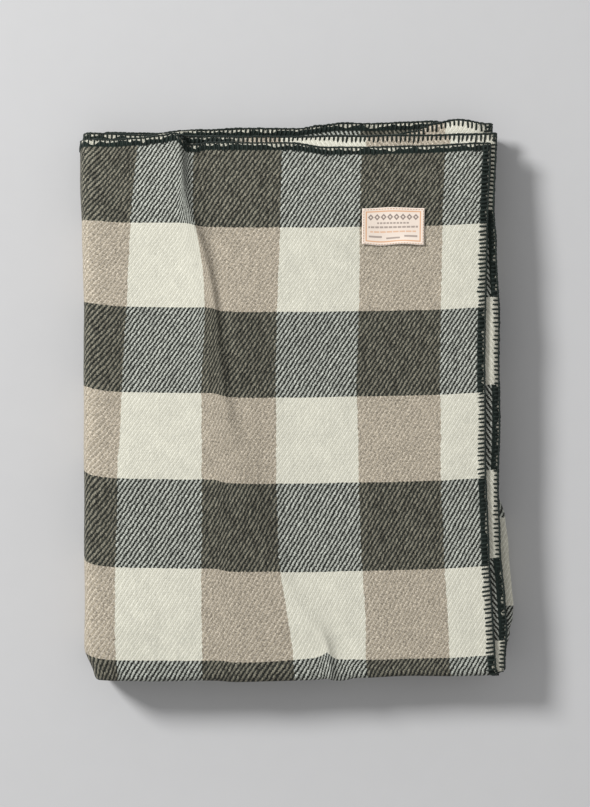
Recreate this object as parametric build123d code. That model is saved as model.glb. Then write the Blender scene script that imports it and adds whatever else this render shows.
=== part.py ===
"""A wool camp blanket, folded twice lengthwise and twice crosswise into a sixteen-layer stack.

The blanket is one woven sheet with four overlocked edges and a small label sewn on near a corner.
Lengthwise folding makes a ribbon four layers deep. Crosswise folding lays that ribbon down as four
groups of four layers, numbered here from the top of the stack. Layer 1 of the ribbon is the leaf
that shows on top, and it ends in a hem at the back (+Y) and at the right (+X).
"""

import math
import os

from build123d import *

# The flat cloth, mm
cloth_width = 1676.0  # side to side, 66 in
cloth_length = 2134.0  # end to end, 84 in
cloth_thickness = 2.5

# How it is folded, mm
layer_gap = 0.8  # air between one layer and the next
crease_short = 47.0  # the first lengthwise crease stops this far short of the top leaf's hem
crease_overhang = 5.0  # the first crosswise crease bends this far past the top leaf's side hem
far_hem_setback = 5.0  # the second side hem stops this far inside the first

# Overlocked edging, mm
edging_bite = 6.5  # reach of the yarn in over the cloth
edging_spine = 1.5  # yarn standing out past the cut edge
edging_skin = 0.25  # yarn bedded into each face of the cloth

# Label and its stitches, mm
label_width = 64.0
label_height = 39.0
label_thickness = 0.8
label_from_side = 95.0  # label centre to the top leaf's side hem
label_from_end = 86.0  # label centre to the top leaf's end hem
stitch_inset = 1.6
stitch_length = 2.4
stitch_pitch = 3.6
thread_width = 0.5
thread_height = 0.3

layers = 4
groups = 4
pitch = cloth_thickness + layer_gap
group_height = layers * pitch
stack_height = groups * group_height

# A layer that goes round the outside of a bend comes back short of its neighbour by this much.
wrap_step = math.pi * pitch

# Runs of the ribbon's layers, from the centre of the front bend back to each end or crease.
front_bends = math.pi * pitch * (1.5 + 0.5 / 2)
top_leaf_depth = (cloth_length / 2 - front_bends + crease_short) / 2
second_leaf_depth = top_leaf_depth + wrap_step
crease_depth = top_leaf_depth - crease_short

# Runs of the four groups, from the centre of the left bends across to each hem or crease.
side_bends = math.pi * pitch * (7.5 + 3.5 + 0.5)
top_run = (cloth_width - side_bends - 2 * crease_overhang + far_hem_setback) / groups
lower_top_run = top_run + wrap_step
crease_run = top_run + crease_overhang
far_run = top_run - far_hem_setback

# Inside the edging the cloth is pressed to this thickness, so the hem stays level with the cloth.
hem_thickness = cloth_thickness - 2 * edging_skin

# Each group's face side, up the stack, and which way its layers count from there.
TOP, SECOND, THIRD, BOTTOM = (
    (stack_height, -1),
    (stack_height / 2, 1),
    (stack_height / 2, -1),
    (0.0, 1),
)


def depth_of(layer):
    """Distance from the group's face side to the middle of a layer."""
    return (layer - 0.5) * pitch


def strip(layer, start, end, thickness):
    """Section of one flat layer, along Y and down through the group."""
    middle = Pos((start + end) / 2, depth_of(layer))
    return middle * Rectangle(end - start, thickness)


def half_ring(radius, thickness, side):
    """Section of a bend that turns back on itself, open towards the flat layers."""
    outer = radius + thickness / 2
    inner = radius - thickness / 2
    keep = Pos(side * outer, 0) * Rectangle(2 * outer, 4 * outer)
    return (Circle(outer) - Circle(inner)) & keep


def outer_bend(thickness):
    """Front bend that joins layers 1 and 4."""
    return Pos(0, 2 * pitch) * half_ring(1.5 * pitch, thickness, -1)


def under_leaves(thickness, past=0.0):
    """Layers 4, 3 and 2, with the back crease and the inner front bend, and past added to the hem."""
    leaves = strip(4, 0, crease_depth, thickness) + strip(3, 0, crease_depth, thickness)
    leaves += strip(2, 0, second_leaf_depth + past, thickness)
    leaves += Pos(0, 2 * pitch) * half_ring(0.5 * pitch, thickness, -1)
    leaves += Pos(crease_depth, 3 * pitch) * half_ring(0.5 * pitch, thickness, 1)
    return leaves


def top_leaf(thickness, past=0.0):
    """Layer 1, with past added to its hem."""
    return strip(1, 0, top_leaf_depth + past, thickness)


def ribbon(thickness, past=0.0):
    """Section of the whole four-layer ribbon."""
    return top_leaf(thickness, past) + outer_bend(thickness) + under_leaves(thickness, past)


def placed(section, group, x):
    """A section set upright in its group, at a place along X."""
    face_side, count = group
    upright = Plane(origin=(x, 0, face_side), x_dir=(0, 1, 0), z_dir=(count, 0, 0))
    return upright * section


def run(section, group, start, end):
    """A section carried straight along X."""
    return extrude(placed(section, group, start), end - start, dir=(1, 0, 0))


def crosswise(section, first_run, last_run):
    """A section carried along the whole crosswise fold, from the first side hem to the second."""
    left_axis = Axis((0, 0, stack_height / 2), (0, -1, 0))
    right_axis = Axis((crease_run, 0, group_height), (0, 1, 0))
    parts = [
        run(section, TOP, 0, first_run),
        revolve(placed(section, TOP, 0), left_axis, 180),
        run(section, BOTTOM, 0, crease_run),
        revolve(placed(section, THIRD, crease_run), right_axis, 180),
        run(section, THIRD, 0, crease_run),
        revolve(placed(section, SECOND, 0), left_axis, 180),
        run(section, SECOND, 0, last_run),
    ]
    return parts[0].fuse(*parts[1:])


def end_yarn(layer, depth):
    """Section of an end hem's edging: over both faces of the cloth and round its cut edge."""
    yarn = strip(layer, depth - edging_bite, depth + edging_spine, cloth_thickness)
    return yarn - strip(layer, depth - edging_bite, depth, hem_thickness)


def wool_cloth():
    """The woven sheet. Its top leaf ends short of the leaves under it, at the side hem."""
    second_hem = end_yarn(2, second_leaf_depth)
    whole = ribbon(cloth_thickness) - end_yarn(1, top_leaf_depth) - second_hem
    lower = under_leaves(cloth_thickness) - second_hem
    sheet = crosswise(whole, top_run - edging_bite, far_run - edging_bite)
    return sheet.fuse(
        run(top_leaf(hem_thickness), TOP, top_run - edging_bite, top_run),
        run(outer_bend(hem_thickness), TOP, top_run - edging_bite, lower_top_run),
        run(lower, TOP, top_run - edging_bite, lower_top_run - edging_bite),
        run(under_leaves(hem_thickness), TOP, lower_top_run - edging_bite, lower_top_run),
        run(ribbon(hem_thickness), SECOND, far_run - edging_bite, far_run),
    )


def wrapped(section_of, group, edge):
    """Yarn over both faces of a cut edge at x = edge, and standing past it."""
    past_edge = section_of(cloth_thickness, edging_spine)
    over_faces = past_edge - section_of(hem_thickness)
    skin = run(over_faces, group, edge - edging_bite, edge)
    return skin.fuse(run(past_edge, group, edge, edge + edging_spine))


def side_edging_1():
    """Edging of the first side: once along each leaf of the top group, in one run."""
    bend = outer_bend(cloth_thickness)
    over_faces = bend - outer_bend(hem_thickness)
    edging = wrapped(top_leaf, TOP, top_run)
    return edging.fuse(
        wrapped(under_leaves, TOP, lower_top_run),
        run(over_faces, TOP, top_run - edging_bite, lower_top_run),
        run(bend, TOP, lower_top_run, lower_top_run + edging_spine),
    )


def side_edging_2():
    """Edging of the second side, along the leaves of the second group."""
    return wrapped(ribbon, SECOND, far_run)


def end_edging(layer, depth, first_run):
    """Edging of an end of the sheet: one hem that follows every crosswise fold."""
    return crosswise(end_yarn(layer, depth), first_run - edging_bite, far_run - edging_bite)


def on_label():
    """Middle of the label's place, on the upper face of the top leaf."""
    x = top_run - label_from_side
    y = top_leaf_depth - label_from_end
    return Pos(x, y, stack_height - layer_gap / 2)


def on_top(length, width, height):
    """A small flat block that stands on the level it is placed at."""
    return Box(length, width, height, align=(Align.CENTER, Align.CENTER, Align.MIN))


def label():
    return on_label() * on_top(label_width, label_height, label_thickness)


def stitch_row(length):
    """One straight row of stitches, centred, with room for the rows that cross its ends."""
    count = int((length - stitch_length) // stitch_pitch)
    places = [(i - (count - 1) / 2) * stitch_pitch for i in range(count)]
    return [Pos(x, 0) * on_top(stitch_length, thread_width, thread_height) for x in places]


def label_stitching():
    """A row of stitches along each side of the label."""
    across = label_width - 2 * stitch_inset
    along = label_height - 2 * stitch_inset
    stitches = []
    for end in (-1, 1):
        stitches += [Pos(0, end * along / 2) * stitch for stitch in stitch_row(across)]
        stitches += [Pos(end * across / 2, 0) * Rot(0, 0, 90) * stitch for stitch in stitch_row(along)]
    return on_label() * Pos(0, 0, label_thickness) * Compound(stitches)


nodes = {
    "wool_cloth": wool_cloth(),
    "side_edging_1": side_edging_1(),
    "side_edging_2": side_edging_2(),
    "end_edging_1": end_edging(1, top_leaf_depth, top_run),
    "end_edging_2": end_edging(2, second_leaf_depth, lower_top_run),
    "label": label(),
    "label_stitching": label_stitching(),
}

# The origin is the middle of the footprint, on the ground.
box = Compound(list(nodes.values())).bounding_box()
to_origin = Pos(-box.center().X, -box.center().Y, -box.min.Z)

os.makedirs("parts", exist_ok=True)
for name, shape in nodes.items():
    export_step(to_origin * shape, f"parts/{name}.step")
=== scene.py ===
import math

import bmesh
import bpy
import numpy as np
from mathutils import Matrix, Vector


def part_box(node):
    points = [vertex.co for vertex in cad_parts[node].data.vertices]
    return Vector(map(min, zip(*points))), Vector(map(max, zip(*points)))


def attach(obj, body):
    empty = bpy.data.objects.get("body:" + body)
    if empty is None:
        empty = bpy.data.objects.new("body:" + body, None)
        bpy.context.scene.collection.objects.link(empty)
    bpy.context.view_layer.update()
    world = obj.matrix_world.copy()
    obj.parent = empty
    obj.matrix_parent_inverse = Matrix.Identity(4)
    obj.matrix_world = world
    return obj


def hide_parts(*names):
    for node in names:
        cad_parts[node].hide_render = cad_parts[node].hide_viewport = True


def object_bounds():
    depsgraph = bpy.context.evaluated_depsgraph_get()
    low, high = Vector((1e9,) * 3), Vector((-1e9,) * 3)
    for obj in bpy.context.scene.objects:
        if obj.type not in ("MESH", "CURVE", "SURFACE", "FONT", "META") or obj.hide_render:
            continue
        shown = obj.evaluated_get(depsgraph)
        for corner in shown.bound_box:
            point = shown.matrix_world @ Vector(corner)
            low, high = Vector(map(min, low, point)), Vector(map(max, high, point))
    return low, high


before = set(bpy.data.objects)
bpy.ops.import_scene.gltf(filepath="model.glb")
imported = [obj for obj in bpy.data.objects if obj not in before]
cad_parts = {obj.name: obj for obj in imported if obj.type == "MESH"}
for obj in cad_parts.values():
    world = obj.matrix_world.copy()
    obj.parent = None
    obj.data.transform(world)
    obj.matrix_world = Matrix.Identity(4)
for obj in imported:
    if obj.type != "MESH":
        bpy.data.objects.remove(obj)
cad_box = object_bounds()

# ---------------------------------------------------------------------------------------------
# The cloth. A camp blanket is one sheet of brushed 2/2 twill. Warp stripes of cream and taupe
# run its length, and weft stripes of near-black green and cream cross them to make the check.
# It is folded lengthwise into a ribbon of four layers, and the ribbon crosswise into four groups.
# ---------------------------------------------------------------------------------------------

mm = 0.001
sheet_width = 1.676
sheet_length = 2.134
nap_thickness = 0.0030
layers_in_stack = 16

# The layers lie one pitch apart, with air between them.
cloth_low, cloth_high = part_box("wool_cloth")
air = 0.0008
pitch = (cloth_high.z - cloth_low.z + air) / layers_in_stack
ground = cloth_low.z - air / 2
stack_height = layers_in_stack * pitch

# A bend is centred at its bend line. Cloth that goes round it uses up one wrap_step for every
# pitch of its radius.
spine = 0.0015  # the edging's yarn stands this far out past the hem
crease_short = 0.047  # the back crease stops this far short of the top leaf's hem
crease_overhang = 0.005  # the right crease starts its bend this far past the top leaf's hem
far_hem_setback = 0.005  # the second side's hem stops this far inside the top leaf's
wrap_step = math.pi * pitch
left_bend = cloth_low.x + 8 * pitch - air / 2
front_bend = cloth_low.y + 2 * pitch - air / 2
back_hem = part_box("end_edging_1")[1].y - spine
leaf_depth = back_hem - front_bend
side_bends = (7.5 + 3.5 + 0.5) * wrap_step
leaf_run = (sheet_width - side_bends - 2 * crease_overhang + far_hem_setback) / 4
right_bend = left_bend + leaf_run + crease_overhang
far_hem = left_bend + leaf_run - far_hem_setback
top_width = left_bend + leaf_run - cloth_low.x


def eased(t):
    """A smooth step from 0 to 1."""
    t = np.clip(t, 0.0, 1.0)
    return t * t * (3.0 - 2.0 * t)


def eased_between(x, places, values):
    """A smooth line through values at places."""
    step = np.clip(np.searchsorted(places, x) - 1, 0, len(places) - 2)
    start, end = np.take(places, step), np.take(places, step + 1)
    low, high = np.take(values, step), np.take(values, step + 1)
    return low + (high - low) * eased((x - start) / (end - start))


def hump(x, middle, width):
    """1 at the middle, falling away smoothly on both sides to nearly 0 at twice the width."""
    return np.exp(-(((x - middle) / width) ** 2))


# Where each leaf and each bend of the sheet begins, down its length and across its width.
down = np.cumsum(
    [
        0.0,
        leaf_depth,
        1.5 * wrap_step,
        leaf_depth - crease_short,
        0.5 * wrap_step,
        leaf_depth - crease_short,
        0.5 * wrap_step,
        leaf_depth + wrap_step,
    ]
)
across = np.cumsum(
    [
        0.0,
        leaf_run,
        7.5 * wrap_step,
        right_bend - left_bend,
        3.5 * wrap_step,
        right_bend - left_bend,
        0.5 * wrap_step,
        far_hem - left_bend,
    ]
)


def folded_lengthwise(v, rise):
    """Place along Y and depth in the ribbon, for a point that stands off the sheet's middle by
    rise, towards its face."""
    crease = back_hem - crease_short
    part = np.clip(np.searchsorted(down, v, side="right") - 1, 0, 6)
    along = v - down[part]
    length = np.diff(down)[part]
    turn = math.pi * along / length
    outer = 1.5 * pitch + rise
    tight = 0.5 * pitch + rise
    inner = 0.5 * pitch - rise
    y = np.choose(
        part,
        [
            back_hem - along,
            front_bend - outer * np.sin(turn),
            front_bend + along,
            crease + tight * np.sin(turn),
            crease - along,
            front_bend - inner * np.sin(turn),
            front_bend + along,
        ],
    )
    depth = np.choose(
        part,
        [
            0.5 * pitch - rise,
            2 * pitch - outer * np.cos(turn),
            3.5 * pitch + rise,
            3 * pitch + tight * np.cos(turn),
            2.5 * pitch - rise,
            2 * pitch + inner * np.cos(turn),
            1.5 * pitch + rise,
        ],
    )
    return y, depth


def side_hem_reach(v, y):
    """How far the first side's hem stands out past the top leaf's, for each layer of the ribbon."""
    q = np.clip((back_hem - y) / leaf_depth, 0.0, 1.0)
    places = [0.0, 0.12, 0.20, 0.35, 0.55, 0.70, 0.78, 0.86, 0.92, 1.0]
    second = mm * eased_between(q, places, [6.0, 6.5, 10, 15, 15, 11.8, 11.8, 14, 14.2, 9.5])
    under = 0.0050 + 0.0050 * np.sin(math.pi * q**1.1)
    # 0 on the top leaf, 1 on the two leaves at the bottom, 2 on the second leaf.
    leaf = np.interp(v, down, [0.0, 0.0, 1.0, 1.0, 1.0, 1.0, 2.0, 2.0])
    return np.clip(leaf, 0.0, 1.0) * under + np.clip(leaf - 1.0, 0.0, 1.0) * (second - under)


def folded_crosswise(u, v, y, depth):
    """Place along X and height in the stack."""
    part = np.clip(np.searchsorted(across, u, side="right") - 1, 0, 6)
    along = u - across[part]
    share = along / np.diff(across)[part]
    turn = math.pi * share
    # The outer left bend is squarer than a half circle, with its length shared out evenly.
    square = 0.085
    evening = 0.055
    even = turn - evening * np.sin(4 * turn)
    bend_out = (np.sin(even) + square * np.sin(3 * even)) / (1 - square)
    bend_up = (np.cos(even) - square * np.cos(3 * even)) / (1 - square)
    # From back to front the right crease wanders in and out, and a flap of it shows near the front.
    first_run = leaf_run + side_hem_reach(v, y)
    q = np.clip((back_hem - y) / leaf_depth, 0.0, 1.0)
    places = [0.0, 0.45, 0.64, 0.67, 0.725, 0.77, 0.81, 0.86, 0.885, 0.91, 0.935, 1.0]
    sway = [-10, -10, -4.5, -1.2, 7.0, 9.0, 9.2, 10.3, 11.2, 9.6, 5.6, -4.0]
    crease_at = right_bend - left_bend + mm * eased_between(q, places, sway)
    far_sway = eased_between(q, [0.0, 0.15, 1.0], [0.007, 0.004, 0.0])
    x = left_bend + np.choose(
        part,
        [
            first_run * (1.0 - share),
            -(8 * pitch - depth) * bend_out,
            crease_at * share,
            crease_at + (4 * pitch - depth) * np.sin(turn),
            crease_at * (1.0 - share),
            -depth * np.sin(turn),
            (far_hem - left_bend + far_sway) * share,
        ],
    )
    z = ground + np.choose(
        part,
        [
            16 * pitch - depth,
            8 * pitch + (8 * pitch - depth) * bend_up,
            depth,
            4 * pitch - (4 * pitch - depth) * np.cos(turn),
            8 * pitch - depth,
            8 * pitch - depth * np.cos(turn),
            8 * pitch + depth,
        ],
    )
    return x, z


def end_hem_reach(u, v):
    """How far each end hem wanders in or out along Y, all the way across the sheet."""
    # Across the top group, at the bends and hidden groups, then across the second group, in mm.
    top = [0.0, 0.017, 0.067, 0.12, 0.16, 0.20, 0.28, 0.296, 0.3035, 0.310, 0.317, 0.335, 0.355, 0.385]
    top_first = [-2.0, -1.4, -2.0, -2.1, -1.8, 3.5, 4.2, 1.2, 1.2, 6.6, 9.0, 5.8, 3.8, 1.8]
    top_second = [-1.5, -1.8, -1.4, -0.5, 0.3, 0, 0.4, 0, -0.5, -0.5, -2.0, -4.2, -3.6, -2.4]
    hidden_first = [-2, 3, 2, 6, 6]
    hidden_second = [-2, -1, 2, 3, -1]
    far = across[6] + leaf_run * np.array([0.25, 0.34, 0.50, 0.55, 0.61, 0.69, 0.79, 0.83, 0.90, 0.98])
    far_first = [18, 19.5, 19.5, 22.5, 25.5, 24.5, 25, 25.2, 21.5, 12]
    far_second = [-6, -6, -6, -6, -6, -4, 4, 11.5, 15.8, 10.5]

    places = [*top, *across[2:7], *far]
    first = eased_between(u, places, top_first + hidden_first + far_first)
    second = eased_between(u, places, top_second + hidden_second + far_second)
    fade = 0.10
    near_first = 1.0 - eased(v / fade)
    near_second = 1.0 - eased((sheet_length - v) / fade)
    return mm * (near_first * first + near_second * second)


# The creases in the top leaf. Each is a row of places from back to front: the share of the leaf's
# depth from the back, the share of its width from the left, and the crease's height and the width
# of its steep right side there, in mm. After the row comes the width of its soft left side.
main_crease = (
    (
        (-0.06, 0.236, 8.5, 11),
        (0.06, 0.250, 8.5, 10.5),
        (0.13, 0.264, 7.5, 9),
        (0.18, 0.292, 6.0, 6.5),
        (0.25, 0.315, 5.2, 5.5),
        (0.30, 0.326, 4.8, 5),
        (0.353, 0.334, 4.6, 5),
        (0.442, 0.349, 3.9, 6),
        (0.52, 0.364, 2.5, 8),
        (0.584, 0.382, 1.2, 11),
        (0.68, 0.425, 0.7, 14),
        (0.78, 0.460, 0.0, 15),
    ),
    34,
)
creases = (
    main_crease,
    (((-0.05, 0.288, 1.3, 3), (0.05, 0.292, 1.2, 3), (0.16, 0.312, 0.6, 4), (0.22, 0.325, 0.0, 4)), 4),
    (
        (
            (0.25, 0.362, 0.0, 4),
            (0.33, 0.375, 1.1, 4),
            (0.40, 0.395, 1.1, 4),
            (0.47, 0.416, 0.7, 5),
            (0.58, 0.440, 0.0, 6),
        ),
        5,
    ),
    (
        (
            (0.22, 0.320, 0.0, 42),
            (0.42, 0.335, 4.2, 42),
            (0.66, 0.342, 7.0, 44),
            (0.90, 0.345, 5.4, 48),
            (1.06, 0.345, 2.0, 50),
        ),
        300,
    ),
    (
        (
            (0.56, 0.390, 0.0, 14),
            (0.66, 0.412, 1.2, 13),
            (0.76, 0.455, 1.8, 12),
            (0.84, 0.508, 2.5, 10),
            (0.91, 0.553, 2.7, 9.5),
            (0.97, 0.580, 1.6, 8.5),
            (1.03, 0.595, 0.6, 8),
        ),
        32,
    ),
    (((0.88, 0.572, 0.0, 7), (0.94, 0.578, 1.8, 8), (0.98, 0.584, 3.0, 8), (1.06, 0.590, 3.2, 8)), 10),
)


def along_crease(places, column, q):
    """One column of a crease's places, run smoothly from place to place."""
    run = np.array(places)
    shifts = np.linspace(-0.03, 0.03, 7)
    return sum(np.interp(q + shift, run[:, 0], run[:, column]) for shift in shifts) / len(shifts)


def creased(p, q):
    """Height that the creases add to the top leaf, and how much cloth they gather sideways."""
    lift = np.zeros(len(p))
    gather = np.zeros(len(p))
    for places, soft in creases:
        course = along_crease(places, 1, q)
        near = 0.01
        slant = (along_crease(places, 1, q + near) - along_crease(places, 1, q - near)) / (2 * near)
        side = (p - course) * top_width / np.hypot(1.0, slant * top_width / leaf_depth) / mm
        height = mm * along_crease(places, 2, q)
        steep = along_crease(places, 3, q)
        soft_side = 0.5 * (hump(side, 0.0, soft) + np.exp(np.minimum(side, 0.0) / soft))
        ridge = np.where(side < 0, soft_side, hump(side, 0.0, steep))
        hollow = 0.22 * hump(side, 2.4 * steep, 1.7 * steep)
        lift += height * (ridge - hollow)
        gather += 0.45 * height * np.tanh(-side / 8) * np.exp(-np.abs(side) / 100)
    return lift, gather


def waves(x, y, size, seed):
    """Slow unevenness, from -1 to 1: waves of about this size that cross in many directions."""
    total = np.zeros(len(x))
    count = 5
    for k in range(count):
        turn = 2.399 * (k + seed)
        wide = 2 * math.pi / (size * (0.7 + 0.17 * k))
        total += np.sin(wide * (x * math.cos(turn) + y * math.sin(turn)) + 1.7 * k + 3.1 * seed)
    return total / count


def settled(x, y, z, u, v):
    """The fold as it lies: out of square, creased, and slumped where there are fewer layers."""
    p = (x - cloth_low.x) / top_width
    q = np.clip((back_hem - y) / leaf_depth, -0.1, 1.05)
    level = np.clip((z - ground) / stack_height, 0.0, 1.0)
    leftward = np.clip(1.0 - p, 0.0, 1.0)
    # Along X: the sides sway and lean, the front's middle is pulled right, its corner is rounded.
    right_sway = 0.0062 - 0.0315 * q + 0.0362 * q**2
    left_lean = eased_between(q, [0.0, 0.35, 1.0], [-0.0058, -0.0014, -0.0004])
    pull = 0.0115 * hump(p, 0.52, 0.09) * hump(q, 1.0, 0.13)
    corner = 0.010 * eased((q - 0.955) / 0.05) * np.clip(1.0 - p / 0.10, 0.0, 1.0)
    # Along Y: the weft bows from side to side, and the front is puckered, drawn in and let out.
    places = [0.0, 0.16, 0.314, 0.47, 0.63, 0.79, 0.955, 1.0]
    bow = mm * eased_between(q, places, [0, 1.7, 4.8, 5.0, 6.4, 3.3, 0.5, 0])
    bow += 0.004 * (2 * p - 1) ** 2 + 0.0036 * p**2 * q**2
    bow += 0.0030 * leftward**2 * eased(q / 0.25) * (1.0 - eased((q - 0.80) / 0.15))
    pucker = 0.0042 * hump(p, 0.565, 0.085) * hump(q, 0.96, 0.04)
    pucker += 0.0062 * hump(p, 0.577, 0.022) * hump(q, 0.965, 0.035)
    drawn_in = eased((p - 0.62) / 0.05) * (1.0 - eased((p - 0.78) / 0.16))
    front = 0.0030 * drawn_in * eased((q - 0.955) / 0.045)
    front -= 0.0024 * hump(p, 0.0, 0.20) * eased((q - 0.965) / 0.045)
    lift, gather = creased(p, q)
    upper = eased((level - 0.45) / 0.5)
    out_x = x + right_sway * p + left_lean * leftward + corner + pull * level + upper * gather
    out_y = y + bow + pucker + front + end_hem_reach(u, v) + 0.6 * upper * gather
    out_x = out_x + 0.0007 * waves(y, z * 6, 0.09, 2)
    out_y = out_y + 0.0007 * waves(x, z * 6, 0.08, 5)
    # Two leaves of each group stop short of the back hems, which lets the ones above them down.
    missing = eased_between(u, across[1:6], [8, 0, 0, 4, 4])
    past_crease = eased((y - (back_hem - crease_short - 0.035)) / 0.085)
    slump = 0.30 * missing * pitch * past_crease
    over_edge = np.clip(x - far_hem - 0.002, 0.0, 0.05)
    droop = 6.0 * over_edge**2 * eased((level - 0.5) / 0.3)
    swell = 0.0012 * waves(x, y, 0.16, 1) + 0.0006 * waves(x, y, 0.06, 7)
    out_z = z + upper * lift + level * swell - slump - droop
    return out_x, out_y, out_z


# Where the threads have slid a little sideways in one place: across the sheet and how widely, how
# far down the top leaf and for how long, and the slide in m.
local_slides = (
    (0.292, 0.038, 0.48, 0.10, -0.0032),
    (0.132, 0.045, 0.48, 0.10, -0.0016),
    (0.378, 0.030, 0.90, 0.30, -0.0025),
    (0.120, 0.110, 0.89, 0.08, 0.0024),
)


def slipped(u, v):
    """The cloth isn't folded quite true: how its threads slide past the lines of the fold."""
    q = np.clip(v / leaf_depth, 0.0, 1.0)
    # Left of the main crease the warp leans, most of all at the back, until it is round the bend.
    crease_u = top_width * (1.0 - along_crease(main_crease[0], 1, q))
    tuck = 1.0 - eased(q / 0.18)
    left_of_crease = eased((u - crease_u + 0.006 + 0.010 * tuck) / (0.045 - 0.009 * tuck))
    round_bend = 1.0 - eased((u - across[1] - 0.03) / 0.25)
    skew = 0.0225 * (1.0 - q) ** 2.1 * left_of_crease * round_bend
    skew += 0.0042 * hump(u, 0.213, 0.040) * (1.0 - eased((q - 0.08) / 0.28))
    for place, width, at, length, slide in local_slides:
        skew = skew + slide * hump(u, place, width) * hump(q, at, length)
    # The hidden groups have crept both across and along the sheet, and the second leaf along it.
    creep = [0.0, 0.4, 1.0, 1.0, 0.0]
    sideways = 0.027 * eased_between(u, [across[1] + 0.03, *across[2:6]], creep)
    mid_length = eased_between(v, [0.0, 0.43, 0.56, 1.0], [0.0, 1.0, 1.0, 0.0])
    forward = 0.0465 * eased_between(u, across[1:6], creep) * mid_length
    second_leaf = [down[6], down[6] + 0.10, sheet_length - 0.28, sheet_length]
    on_top = 1.0 - eased((u - across[1]) / (across[2] - across[1]))
    forward += 0.0085 * eased_between(v, second_leaf, [0, 1, 1, 0]) * on_top
    return u - skew + sideways, v - forward


def folded(u, v, rise):
    """Where a point of the flat sheet lies in the folded blanket."""
    u, v, rise = np.broadcast_arrays(np.atleast_1d(u).astype(float), v, rise)
    fold_u, fold_v = slipped(u, v)
    y, depth = folded_lengthwise(fold_v, rise)
    x, z = folded_crosswise(fold_u, fold_v, y, depth)
    return np.stack(settled(x, y, z, fold_u, fold_v), -1)


def grid_lines(ends, steps):
    """Places of the mesh's lines: each stretch is divided into its own number of steps."""
    lines = [np.linspace(a, b, n, endpoint=False) for a, b, n in zip(ends[:-1], ends[1:], steps)]
    return np.append(np.concatenate(lines), ends[-1])


# The lines are closest together on the top leaf, and closest of all where it is creased.
u_lines = grid_lines([0.0, 0.12, 0.19, 0.33, *across[1:]], [16, 24, 52, 12, 20, 16, 14, 16, 8, 20])
v_lines = grid_lines(down, [116, 12, 22, 8, 22, 8, 34])


def shell_quads(columns, rows):
    """Quads of a closed sheet: its face, its back, then the wall round its rim."""
    number = np.arange(columns * rows).reshape(rows, columns)
    corners = [number[:-1, :-1], number[:-1, 1:], number[1:, 1:], number[1:, :-1]]
    face = np.stack([corner.ravel() for corner in corners], -1)
    back = face[:, ::-1] + columns * rows
    rim = np.concatenate([number[0, :], number[1:, -1], number[-1, -2::-1], number[-2:0:-1, 0]])
    after = np.roll(rim, -1)
    wall = np.stack([after, rim, rim + columns * rows, after + columns * rows], -1)
    return face, back, wall


def mesh_of(name, points, quads, maps):
    """A smooth mesh with its UV maps, each given for every corner of every quad."""
    mesh = bpy.data.meshes.new(name)
    mesh.from_pydata(points.tolist(), [], quads.tolist())
    mesh.update()
    for map_name, places in maps.items():
        layer = mesh.uv_layers.new(name=map_name)
        layer.uv.foreach_set("vector", places.astype(np.float32).ravel())
    mesh.shade_smooth()
    return mesh


def sheet_mesh(name):
    """Both faces of the sheet, closed round its four edges, with the flat sheet as a UV map."""
    u, v = (a.ravel() for a in np.meshgrid(u_lines, v_lines))
    points = np.concatenate([folded(u, v, nap_thickness / 2), folded(u, v, -nap_thickness / 2)])
    face, back, wall = shell_quads(len(u_lines), len(v_lines))
    quads = np.concatenate([face, back, wall])
    flat = np.tile(np.stack([u, v], -1), (2, 1))

    # A second map gives the leaves that show most of the room, and the hidden ones little.
    room_across = [0.0, 0.62, 0.72, 0.84, 0.87, 0.91, 0.92, 1.0]
    room_down = [0.0, 0.80, 0.84, 0.91, 0.92, 0.96, 0.97, 1.0]
    face_room, wall_room, back_room = 0.915, (0.920, 0.930), (0.935, 1.0)
    on_face = np.stack([np.interp(u, across, room_across), np.interp(v, down, room_down) * face_room], -1)
    on_back = np.stack([u / sheet_width, np.interp(v, [0, sheet_length], back_room)], -1)
    room = np.concatenate([on_face, on_back])
    start = np.arange(len(wall)) / len(wall)
    end = start + 1 / len(wall)
    inner, outer = np.full(len(wall), wall_room[0]), np.full(len(wall), wall_room[1])
    on_wall = np.stack([end, inner, start, inner, start, outer, end, outer], -1).reshape(-1, 4, 2)
    maps = {
        "Flat sheet": flat[quads],
        "OFBake": np.concatenate([room[face], room[back], on_wall]),
    }
    return mesh_of(name, points, quads, maps)


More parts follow.
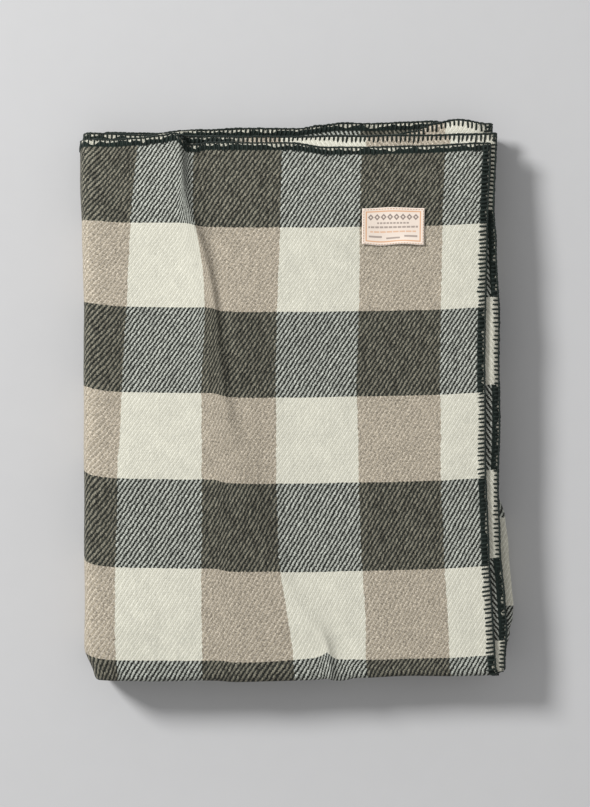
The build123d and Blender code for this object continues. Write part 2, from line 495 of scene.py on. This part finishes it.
class Socket:
    """An output in a material's nodes. Sums written with it add Math nodes."""

    def __init__(self, tree, output=None):
        self.tree = tree
        self.output = output

    def add(self, kind, settings=None, inputs=None, result=0):
        """Adds any other node and gives one of its outputs."""
        node = self.tree.nodes.new(kind)
        for name, value in (settings or {}).items():
            setattr(node, name, value)
        for name, value in (inputs or {}).items():
            if isinstance(value, Socket):
                self.tree.links.new(value.output, node.inputs[name])
            else:
                node.inputs[name].default_value = value
        return Socket(self.tree, node.outputs[result])

    def maths(self, operation, *others):
        """A Math node with this as its first value."""
        return self.add("ShaderNodeMath", {"operation": operation}, dict(enumerate((self, *others))))

    def mix(self, a, b):
        """From colour a to colour b as this goes from 0 to 1."""
        return self.add("ShaderNodeMix", {"data_type": "RGBA"}, {0: self, 6: a, 7: b}, 2)

    def step(self, start, end):
        """A smooth step from 0 to 1 between start and end."""
        inputs = {"Value": self, "From Min": start, "From Max": end}
        return self.add("ShaderNodeMapRange", {"interpolation_type": "SMOOTHSTEP"}, inputs)

    def noise(self, scale, detail):
        """Noise at these coordinates, from 0 to 1."""
        return self.add("ShaderNodeTexNoise", {}, {"Vector": self, "Scale": scale, "Detail": detail})

    def __add__(self, other):
        return self.maths("ADD", other)

    def __sub__(self, other):
        return self.maths("SUBTRACT", other)

    def __rsub__(self, other):
        return self.add("ShaderNodeMath", {"operation": "SUBTRACT"}, {0: other, 1: self})

    def __mul__(self, other):
        return self.maths("MULTIPLY", other)

    def __truediv__(self, other):
        return self.maths("DIVIDE", other)

    def __mod__(self, other):
        return self.maths("FLOORED_MODULO", other)

    def __lt__(self, other):
        return self.maths("LESS_THAN", other)

    __radd__ = __add__
    __rmul__ = __mul__


def new_material(name):
    """An empty material, its nodes, and its surface shader."""
    material = bpy.data.materials.new(name)
    material.use_nodes = True
    shader = material.node_tree.nodes["Principled BSDF"]
    return material, Socket(material.node_tree), shader


def into(shader, name, value):
    """Feeds a socket of the surface shader."""
    value.tree.links.new(value.output, shader.inputs[name])


def raise_surface(shader, height, strength, distance):
    """Shades the surface as if it stood up by height, from 0 to 1 for the whole distance."""
    inputs = {"Strength": strength, "Distance": distance, "Height": height}
    into(shader, "Normal", height.add("ShaderNodeBump", {}, inputs))


def wool_twill():
    """Brushed wool, woven two over and two under, each yarn coloured by the stripe it is in."""
    warp_pitch = 0.00110
    weft_pitch = 0.00170
    first_column = 0.0455
    column = 0.0834
    first_row = 0.0868
    row = 0.0894
    hem_reach = 0.0080
    cream = (0.760, 0.745, 0.640, 1)
    # cream darkened as painted shade, for the cream weft and the tufts between the hem's stitches
    cream_in_painted_shade = (0.640, 0.625, 0.520, 1)
    taupe = (0.368, 0.320, 0.245, 1)
    taupe_veiled = (0.500, 0.445, 0.360, 1)
    pale_over_dark = (0.452, 0.468, 0.418, 1)
    taupe_over_dark = (0.183, 0.173, 0.134, 1)
    dark = (0.020, 0.022, 0.018, 1)
    selvedge = (0.010, 0.017, 0.014, 1)

    material, nodes, shader = new_material("brushed wool twill")
    flat = nodes.add("ShaderNodeUVMap", {"uv_map": "Flat sheet"})
    wander = flat.noise(520.0, 2.0)
    lean = flat.noise(130.0, 1.0)
    u, v = (nodes.add("ShaderNodeSeparateXYZ", {}, {0: flat}, axis) for axis in (0, 1))
    ends = u / warp_pitch + (wander - 0.5) * 1.9 + (lean - 0.5) * 2.4
    picks = v / weft_pitch + (wander - 0.5) * 1.3
    end = ends.maths("FLOOR")
    pick = picks.maths("FLOOR")

    # A warp yarn passes over two picks and under two, and the next one does so one pick later.
    over = 2.0
    repeat = 4.0
    twill = end - picks + 1.0
    along_warp = twill % repeat
    along_weft = (ends - pick) % repeat
    warp_up = along_warp < over
    warp_arch = (along_warp * (math.pi / over)).maths("SINE")
    weft_arch = ((along_weft - over) * (math.pi / over)).maths("SINE")
    warp_round = ((ends - end) * math.pi).maths("SINE")
    weft_round = ((picks - pick) * math.pi).maths("SINE")
    warp_height = warp_arch * (0.5 + warp_round * 0.5)
    weft_height = weft_arch * (0.5 + weft_round * 0.5)
    height = warp_up.maths("MULTIPLY_ADD", warp_height - weft_height, weft_height)

    # The stripes, judged at the middle of each yarn so that they step with the weave.
    taupe_end = ((end + 0.5) * warp_pitch - first_column) % (2 * column) < column
    pale_pick = ((pick + 0.5) * weft_pitch - first_row) % (2 * row) < row

    # The cream weft is a darker copy of the cream warp: painted shade that draws the twill's lines.
    warp_on_pale = taupe_end.mix(cream, taupe)
    weft_on_pale = taupe_end.mix(cream_in_painted_shade, taupe_veiled)
    on_pale = warp_up.mix(weft_on_pale, warp_on_pale)
    on_dark = warp_up.mix(dark, taupe_end.mix(pale_over_dark, taupe_over_dark))
    woven = pale_pick.mix(on_dark, on_pale)

    # In the hems the dark weft closes over the warp, except for pale tufts of it next to the rim,
    # coloured with cream in painted shade, and along one stretch of the second end the stitches crowd
    # together over the pale weft too.
    from_sides = u.maths("MINIMUM", sheet_width - u)
    from_ends = v.maths("MINIMUM", sheet_length - v)
    in_hem = 1.0 - from_sides.maths("MINIMUM", from_ends).step(hem_reach * 0.8, hem_reach)
    crowded_stretch = u.step(0.235, 0.265) * (1.0 - u.step(0.46, 0.50))
    crowded = v.step(sheet_length - 0.012, sheet_length - 0.010) * crowded_stretch
    covered = (1.0 - pale_pick).maths("MAXIMUM", crowded)
    woven = (in_hem * covered).mix(woven, selvedge)
    tuft_reach = (flat.noise(85.0, 1.0) - 0.5) * 0.0110 + 0.0022
    tufts = (from_ends.maths("MINIMUM", from_sides + 0.0012) < tuft_reach) * covered
    woven = (tufts * 0.85).mix(woven, cream_in_painted_shade)

    # Brushing lays fibres over the yarns, in streaks, clumps and wide soft clouds of shade.
    stretched = nodes.add("ShaderNodeMapping", {}, {"Vector": flat, "Scale": (1.0, 0.35, 1.0)})
    heather = stretched.noise(1500.0, 3.0)
    clumps = flat.noise(480.0, 3.0)
    cloud = flat.noise(60.0, 3.0)
    fuzz = flat.noise(2600.0, 2.0)
    mottle = (heather - 0.5) * 0.80 + (clumps - 0.5) * 1.10
    uneven = 0.30 + 1.25 * (1.0 - pale_pick * (1.0 - taupe_end))

    # Each float of the warp is a little lighter or darker than its neighbours.
    float_number = (twill / repeat).maths("FLOOR")
    which_float = nodes.add("ShaderNodeCombineXYZ", {}, {0: end, 1: float_number})
    fleck = nodes.add("ShaderNodeTexWhiteNoise", {"noise_dimensions": "2D"}, {"Vector": which_float})
    flecked = 0.10 + taupe_end * 0.12 + (1.0 - pale_pick) * (0.30 + taupe_end * 0.30)

    # Each yarn is painted lighter along its arch and middle and darker where it dives under the next, as
    # painted shade, on top of the uneven tone above.
    shade = 0.72 + height * 0.32 + mottle * uneven + (fleck - 0.5) * flecked + (cloud - 0.5) * 0.22
    grey = nodes.add("ShaderNodeCombineColor", {}, {0: shade, 1: shade, 2: shade})
    multiplied = {"data_type": "RGBA", "blend_type": "MULTIPLY"}
    into(shader, "Base Color", nodes.add("ShaderNodeMix", multiplied, {0: 1.0, 6: woven, 7: grey}, 2))
    into(shader, "Roughness", 0.86 + (fuzz - 0.5) * 0.2)
    relief = height * 0.7 + (heather - 0.5) * 0.5 + (fuzz - 0.5) * 0.4
    raise_surface(shader, relief, 0.55, 0.0007)
    shader.inputs["Sheen Weight"].default_value = 0.05
    shader.inputs["Sheen Roughness"].default_value = 0.6
    shader.inputs["Specular IOR Level"].default_value = 0.10
    return material


wool_cloth = bpy.data.objects.new("wool_cloth_sheet", sheet_mesh("wool_cloth_sheet"))
bpy.context.collection.objects.link(wool_cloth)
wool_cloth.data.materials.append(wool_twill())
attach(wool_cloth, "root")
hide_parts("wool_cloth")

# ---------------------------------------------------------------------------------------------
# The edging. Dark green yarn is overlocked round all four cut edges: each stitch goes over the
# face, round the edge and back over the other side, and its purls overlap those of the next
# stitch, so that they make a cord along each rim of the hem.
# ---------------------------------------------------------------------------------------------

stitch_pitch = 0.0044
bite = 0.0078
tooth_radius = 0.00118
purl_radius = 0.00100


def tube(shape, course, radii, sides=6):
    """Adds a closed tube, a little flattened, along a short course to a mesh in the making."""
    flattening = 0.8
    course = [Vector(point) for point in course]
    rings = []
    for i, point in enumerate(course):
        ahead = (course[min(i + 1, len(course) - 1)] - course[max(i - 1, 0)]).normalized()
        out = ahead.cross(Vector((0, 1, 0)) if abs(ahead.y) < 0.9 else Vector((1, 0, 0))).normalized()
        across_it = ahead.cross(out)
        ring = []
        for k in range(sides):
            turn = 2 * math.pi * k / sides
            reach = radii[i] * (out * math.cos(turn) * flattening + across_it * math.sin(turn))
            ring.append(shape.verts.new(point + reach))
        rings.append(ring)
    for ring, following in zip(rings[:-1], rings[1:]):
        for k in range(sides):
            m = (k + 1) % sides
            shape.faces.new((ring[k], ring[m], following[m], following[k]))
    shape.faces.new(rings[0][::-1])
    shape.faces.new(rings[-1])


def overlock_stitch():
    """One stitch: X runs in over the cloth from its edge, Y along the edge, Z off its face."""
    half = nap_thickness / 2
    shape = bmesh.new()
    lean = 0.05 * stitch_pitch
    tooth = (
        (bite, lean, half - 0.6 * tooth_radius),
        (bite - 0.0010, lean, half),
        (0.45 * bite, 0, half + 0.10 * tooth_radius),
        (0.0010, -lean, half - 0.1 * tooth_radius),
        (-0.0002, -lean, 0),
        (0.0010, -lean, -half + 0.1 * tooth_radius),
        (0.45 * bite, 0, -half - 0.10 * tooth_radius),
        (bite, lean, -half + 0.6 * tooth_radius),
    )
    tube(shape, tooth, [tooth_radius * s for s in (0.7, 1.0, 1.0, 1.0, 1.0, 1.0, 1.0, 0.7)])
    reach = 0.72 * stitch_pitch
    for side in (1, -1):
        purl = (
            (0.0002, -reach, side * (half - 0.0004)),
            (-0.0005, -0.4 * reach, side * (half - 0.0001)),
            (-0.0005, 0.4 * reach, side * (half - 0.0001)),
            (0.0000, reach, side * (half - 0.0003)),
        )
        tube(shape, purl, [purl_radius * s for s in (0.8, 1.0, 1.0, 0.8)], sides=5)
    bmesh.ops.recalc_face_normals(shape, faces=shape.faces)
    mesh = bpy.data.meshes.new("overlock stitch")
    shape.to_mesh(mesh)
    shape.free()
    mesh.shade_smooth()
    return bpy.data.objects.new("overlock stitch", mesh)


def stitching_tree():
    """Sets a stitch at every point of a row, square to the cloth's edge but for a small wobble."""
    tree = bpy.data.node_groups.new("overlocking", "GeometryNodeTree")
    sockets = tree.interface
    sockets.new_socket("Row", in_out="INPUT", socket_type="NodeSocketGeometry")
    sockets.new_socket("Stitch", in_out="INPUT", socket_type="NodeSocketObject")
    sockets.new_socket("Yarn", in_out="INPUT", socket_type="NodeSocketMaterial")
    sockets.new_socket("Unevenness", in_out="INPUT", socket_type="NodeSocketFloat")
    sockets.new_socket("Seed", in_out="INPUT", socket_type="NodeSocketInt")
    sockets.new_socket("Stitches", in_out="OUTPUT", socket_type="NodeSocketGeometry")

    def node(kind, settings=None, links=None):
        made = tree.nodes.new(kind)
        for name, value in (settings or {}).items():
            setattr(made, name, value)
        for name, value in (links or {}).items():
            if isinstance(value, bpy.types.NodeSocket):
                tree.links.new(value, made.inputs[name])
            else:
                made.inputs[name].default_value = value
        return made

    given = node("NodeGroupInput").outputs
    outward = node("GeometryNodeInputNamedAttribute", {"data_type": "FLOAT_VECTOR"}, {"Name": "face"})
    inward = node("GeometryNodeInputNamedAttribute", {"data_type": "FLOAT_VECTOR"}, {"Name": "inward"})
    facing = node(
        "FunctionNodeAxesToRotation",
        {"primary_axis": "Z", "secondary_axis": "X"},
        {"Primary Axis": outward.outputs["Attribute"], "Secondary Axis": inward.outputs["Attribute"]},
    )
    most = (0.05, 0.04, 0.11)
    least = tuple(-turn for turn in most)
    wobble = node(
        "FunctionNodeRandomValue",
        {"data_type": "FLOAT_VECTOR"},
        {"Min": least, "Max": most, "Seed": given["Seed"]},
    )
    turned = node(
        "FunctionNodeRotateRotation",
        {"rotation_space": "LOCAL"},
        {"Rotation": facing.outputs[0], "Rotate By": wobble.outputs[0]},
    )
    less = node("ShaderNodeMath", {"operation": "SUBTRACT"}, {0: 1.0, 1: given["Unevenness"]})
    more = node("ShaderNodeMath", {"operation": "ADD"}, {0: 1.0, 1: given["Unevenness"]})
    size = node(
        "FunctionNodeRandomValue",
        {"data_type": "FLOAT"},
        {2: less.outputs[0], 3: more.outputs[0], "Seed": given["Seed"]},
    )
    scale = node("ShaderNodeCombineXYZ", None, {0: size.outputs[1], 1: 1.0, 2: 1.0})
    shape = node("GeometryNodeObjectInfo", None, {"Object": given["Stitch"]})
    placed = node(
        "GeometryNodeInstanceOnPoints",
        None,
        {
            "Points": given["Row"],
            "Instance": shape.outputs["Geometry"],
            "Rotation": turned.outputs[0],
            "Scale": scale.outputs[0],
        },
    )
    real = node("GeometryNodeRealizeInstances", None, {"Geometry": placed.outputs[0]})
    dyed = node("GeometryNodeSetMaterial", None, {"Geometry": real.outputs[0], "Material": given["Yarn"]})
    node("NodeGroupOutput", None, {"Stitches": dyed.outputs[0]})
    return tree


def edging_yarn():
    """Wool yarn, so dark a green that it is nearly black, and a little paler where it is worn."""
    material, nodes, shader = new_material("edging yarn")
    place = nodes.add("ShaderNodeTexCoord", {}, {}, "Object")
    strands = place.noise(2400.0, 3.0)
    patches = place.noise(120.0, 2.0)
    deep = (0.0035, 0.0085, 0.0065, 1)
    worn = (0.0170, 0.0280, 0.0220, 1)
    tone = (strands * 0.7 + patches * 0.3).step(0.36, 0.74)
    into(shader, "Base Color", tone.mix(deep, worn))
    into(shader, "Roughness", 0.72 + (strands - 0.5) * 0.3)
    raise_surface(shader, strands, 0.6, 0.0004)
    shader.inputs["Sheen Weight"].default_value = 0.12
    shader.inputs["Specular IOR Level"].default_value = 0.25
    return material


stitch = overlock_stitch()
overlocking = stitching_tree()
dark_yarn = edging_yarn()


def stitch_row(u, v, to_inside):
    """Points along an edge of the sheet, with the cloth's face and inward directions there."""
    small = 0.0008
    middle = folded(u, v, 0.0)
    inward = folded(u + small * to_inside[0], v + small * to_inside[1], 0.0) - middle
    outward = folded(u, v, nap_thickness / 2) - folded(u, v, -nap_thickness / 2)
    mesh = bpy.data.meshes.new("stitch row")
    mesh.from_pydata(middle.tolist(), [], [])
    for name, values in (("inward", inward), ("face", outward)):
        values /= np.linalg.norm(values, axis=1)[:, None]
        attribute = mesh.attributes.new(name, "FLOAT_VECTOR", "POINT")
        attribute.data.foreach_set("vector", values.astype(np.float32).ravel())
    return bpy.data.objects.new("stitch row", mesh)


def overlock(name, u, v, to_inside, seed):
    """Stitches one edge and leaves it as a plain mesh."""
    row = stitch_row(u, v, to_inside)
    bpy.context.collection.objects.link(row)
    modifier = row.modifiers.new("overlocking", "NODES")
    modifier.node_group = overlocking
    given = {"Stitch": stitch, "Yarn": dark_yarn, "Unevenness": 0.16, "Seed": seed}
    for item in overlocking.interface.items_tree:
        if item.name in given:
            modifier[item.identifier] = given[item.name]
    bpy.context.view_layer.update()
    evaluated = row.evaluated_get(bpy.context.evaluated_depsgraph_get())
    mesh = bpy.data.meshes.new_from_object(evaluated)
    bpy.data.objects.remove(row)
    edging = bpy.data.objects.new(name + "_stitches", mesh)
    bpy.context.collection.objects.link(edging)
    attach(edging, "root")
    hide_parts(name)
    return edging


down_side = np.arange(stitch_pitch / 2, sheet_length, stitch_pitch)
along_end = np.arange(stitch_pitch / 2, sheet_width, stitch_pitch)
edgings = [
    overlock("side_edging_1", 0.0 * down_side, down_side, (1, 0), 1),
    overlock("side_edging_2", sheet_width + 0.0 * down_side, down_side, (-1, 0), 2),
    overlock("end_edging_1", along_end, 0.0 * along_end, (0, 1), 3),
    overlock("end_edging_2", along_end, sheet_length + 0.0 * along_end, (0, -1), 4),
]
bpy.data.objects.remove(stitch)

# ---------------------------------------------------------------------------------------------
# The label. A small satin patch, woven pale with a thin border and a plain geometric band, is
# laid on the top leaf near its corner and sewn down along all four sides.
# ---------------------------------------------------------------------------------------------

label_low, label_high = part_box("label")
label_width = label_high.x - label_low.x
label_height = label_high.y - label_low.y
label_thickness = 0.0007
label_nap_gap = 0.0003
label_u = left_bend + leaf_run - (label_low.x + label_high.x) / 2
label_v = back_hem - (label_low.y + label_high.y) / 2


def on_label(s, t, rise):
    """A place on the label: s to the right and t back from its middle, as shares of its size."""
    lifted = 0.0006 * (np.abs(2 * s) ** 6 + np.abs(2 * t) ** 6) + 0.0004 * np.sin(9 * s + 2 * t)
    lifted = lifted + 0.0009 * hump(s, 0.20, 0.22) * np.clip(-2 * t, 0.0, 1.0) ** 3
    # Sewing has drawn it in a little across, and its long edges wander.
    drawn_in = 0.985
    to_front = 0.0005
    back_edge = eased_between(s, [-0.5, -0.05, 0.5], [0.977, 1.056, 0.967])
    front_edge = eased_between(s, [-0.5, -0.20, 0.15, 0.5], [0.972, 1.046, 0.961, 1.056])
    u = label_u - s * label_width * drawn_in
    v = label_v + to_front - t * label_height * np.where(t > 0, back_edge, front_edge)
    return folded(u, v, nap_thickness / 2 + label_nap_gap + lifted + rise)


def label_mesh():
    """Both faces of the patch, closed round its rim, with the woven face as a UV map."""
    columns, rows = 41, 25
    shares = np.meshgrid(np.linspace(-0.5, 0.5, columns), np.linspace(-0.5, 0.5, rows))
    s, t = (a.ravel() for a in shares)
    points = np.concatenate([on_label(s, t, label_thickness), on_label(s, t, 0.0)])
    quads = np.concatenate(shell_quads(columns, rows))
    places = np.tile(np.stack([s * label_width, t * label_height], -1), (2, 1))
    return mesh_of("label patch", points, quads, {"Woven face": places[quads]})


def label_cloth():
    """Pale satin with a thin tan border, a band of lozenges, and short woven bars below it."""
    material, nodes, shader = new_material("label cloth")
    place = nodes.add("ShaderNodeUVMap", {"uv_map": "Woven face"})
    x, y = (nodes.add("ShaderNodeSeparateXYZ", {}, {0: place}, axis) for axis in (0, 1))
    grain = place.noise(1800.0, 2.0)

    def within(value, middle, half):
        """1 where a value is within half of middle."""
        soft = 0.00012
        off = (value - middle).maths("ABSOLUTE")
        return 1.0 - off.step(half - soft, half + soft)

    def box(half_x, half_y):
        """1 inside a rectangle about the label's middle."""
        return within(x, 0.0, half_x) * within(y, 0.0, half_y)

    half_x = label_width / 2 - 0.0036
    half_y = label_height / 2 - 0.0033
    line = 0.0013
    border = box(half_x, half_y) - box(half_x - line, half_y - line)

    # The band: linked lozenges, each with a pale eye.
    link = 0.0066
    band_middle = 0.0096
    across_band = ((x % link) - link / 2).maths("ABSOLUTE")
    down_band = (y - band_middle).maths("ABSOLUTE")
    slant = across_band + down_band * 0.90
    lozenge = (1.0 - slant.step(0.0029, 0.0033)) * slant.step(0.0010, 0.0014)
    lozenges = lozenge * within(x, 0.0, 0.0262)

    def bar(middle, half_y, half_x, dash, share):
        """A woven row of short dashes, each filling a share of its place."""
        dashes = (x % dash) < dash * share
        return within(y, middle, half_y) * within(x, 0.0, half_x) * dashes

    bars = bar(0.0034, 0.0009, 0.0165, 0.0034, 0.74) + bar(-0.0008, 0.0010, 0.0255, 0.0046, 0.82)
    ends = within(y, -0.0106, 0.0010) * (1.0 - within(x, 0.0, 0.0115)) * within(x, 0.0, 0.0250)
    ends = ends + within(y, -0.0122, 0.0009) * within(x, 0.0, 0.0070)
    warm_bar = bar(-0.0056, 0.0008, 0.0235, 0.0066, 0.86)

    satin_shade = (0.72, 0.60, 0.50, 1)
    satin = (0.86, 0.76, 0.67, 1)
    tan = (0.66, 0.34, 0.16, 1)
    brown = (0.17, 0.125, 0.11, 1)
    cloth = grain.mix(satin_shade, satin)
    cloth = (border * 0.85).mix(cloth, tan)
    cloth = (warm_bar * 0.65).mix(cloth, tan)
    cloth = (lozenges * 0.85).mix(cloth, brown)
    cloth = ((bars + ends) * 0.66).mix(cloth, brown)
    into(shader, "Base Color", cloth)
    into(shader, "Roughness", 0.58 + (grain - 0.5) * 0.25)
    rib = 0.00045
    ribs = (x * (2 * math.pi / rib)).maths("SINE") * 0.5 + 0.5
    relief = ribs * 0.5 + (bars + lozenges + border) * 0.5 + grain * 0.4
    raise_surface(shader, relief, 0.35, 0.0002)
    shader.inputs["Sheen Weight"].default_value = 0.1
    return material


label = bpy.data.objects.new("label_patch", label_mesh())
bpy.context.collection.objects.link(label)
label.data.materials.append(label_cloth())
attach(label, "root")
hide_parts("label")


def label_thread():
    """Matt sewing thread in tan."""
    tan_shade = (0.52, 0.30, 0.18, 1)
    tan = (0.78, 0.56, 0.40, 1)
    material, nodes, shader = new_material("label thread")
    ply = nodes.add("ShaderNodeTexCoord", {}, {}, "Object").noise(5200.0, 2.0)
    into(shader, "Base Color", ply.mix(tan_shade, tan))
    into(shader, "Roughness", 0.55 + ply * 0.2)
    return material


def label_stitches():
    """A row of short stitches along each side, each sunk into the label at both its ends."""
    inset = 0.0014
    length = 0.0021
    step = 0.0029
    radius = 0.00028
    shape = bmesh.new()
    rows = []
    for sign in (-1, 1):
        rows.append((label_width, lambda d, k=sign: (d, k * (label_height / 2 - inset))))
        rows.append((label_height, lambda d, k=sign: (k * (label_width / 2 - inset), d)))
    for extent, place in rows:
        count = int((extent - 2 * inset) // step)
        for i in range(count):
            middle = (i - (count - 1) / 2) * step
            course = []
            for share, rise in ((-0.5, -0.0001), (-0.2, 0.0003), (0.2, 0.0003), (0.5, -0.0001)):
                x, y = place(middle + share * length)
                point = on_label(x / label_width, y / label_height, label_thickness + rise)
                course.append(tuple(point[0]))
            tube(shape, course, [radius * s for s in (0.6, 1.0, 1.0, 0.6)], sides=5)
    bmesh.ops.recalc_face_normals(shape, faces=shape.faces)
    mesh = bpy.data.meshes.new("label stitches")
    shape.to_mesh(mesh)
    shape.free()
    mesh.shade_smooth()
    return mesh


thread = bpy.data.objects.new("label_stitches", label_stitches())
bpy.context.collection.objects.link(thread)
thread.data.materials.append(label_thread())
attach(thread, "root")
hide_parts("label_stitching")

# ---------------------------------------------------------------------------------------------
# The studio: a plain pale floor, one soft lamp from the back left, and a camera overhead.
# ---------------------------------------------------------------------------------------------

floor_reach = 6.0
floor_level = cad_box[0].z - 0.0018
signs = [(-1, -1), (1, -1), (1, 1), (-1, 1)]
floor_corners = [(x * floor_reach, y * floor_reach, floor_level) for x, y in signs]
floor_mesh = bpy.data.meshes.new("floor")
floor_mesh.from_pydata(floor_corners, [], [(0, 1, 2, 3)])
floor = bpy.data.objects.new("floor", floor_mesh)
bpy.context.collection.objects.link(floor)
paper_shade = (0.510, 0.510, 0.514, 1)
paper = (0.524, 0.524, 0.528, 1)
floor_paper, floor_nodes, floor_shader = new_material("floor paper")
floor_grain = floor_nodes.add("ShaderNodeTexCoord", {}, {}, "Object").noise(40.0, 3.0)
into(floor_shader, "Base Color", floor_grain.mix(paper_shade, paper))
floor_shader.inputs["Roughness"].default_value = 0.9
floor_mesh.materials.append(floor_paper)

lamp = bpy.data.lights.new("window lamp", "AREA")
lamp.shape = "DISK"
lamp.size = 1.25
lamp.energy = 275.0
lamp_object = bpy.data.objects.new("window lamp", lamp)
lamp_object.location = (-3.22, 2.37, 2.93)
lamp_object.rotation_euler = (-lamp_object.location).to_track_quat("-Z", "Y").to_euler()
bpy.context.collection.objects.link(lamp_object)

world = bpy.data.worlds.new("studio")
world.use_nodes = True
world.node_tree.nodes["Background"].inputs["Color"].default_value = (1.0, 1.0, 1.0, 1)
world.node_tree.nodes["Background"].inputs["Strength"].default_value = 0.50
bpy.context.scene.world = world
bpy.context.scene.view_settings.view_transform = "Standard"

camera = bpy.data.cameras.new("camera")
camera_height = 2.2
view_height = 0.8312
camera.sensor_width = 36.0
camera.lens = camera.sensor_width * camera_height / view_height
camera_object = bpy.data.objects.new("camera", camera)
camera_object.location = (0.0023, 0.0046, cad_box[1].z + camera_height)
bpy.context.collection.objects.link(camera_object)
bpy.context.scene.camera = camera_object
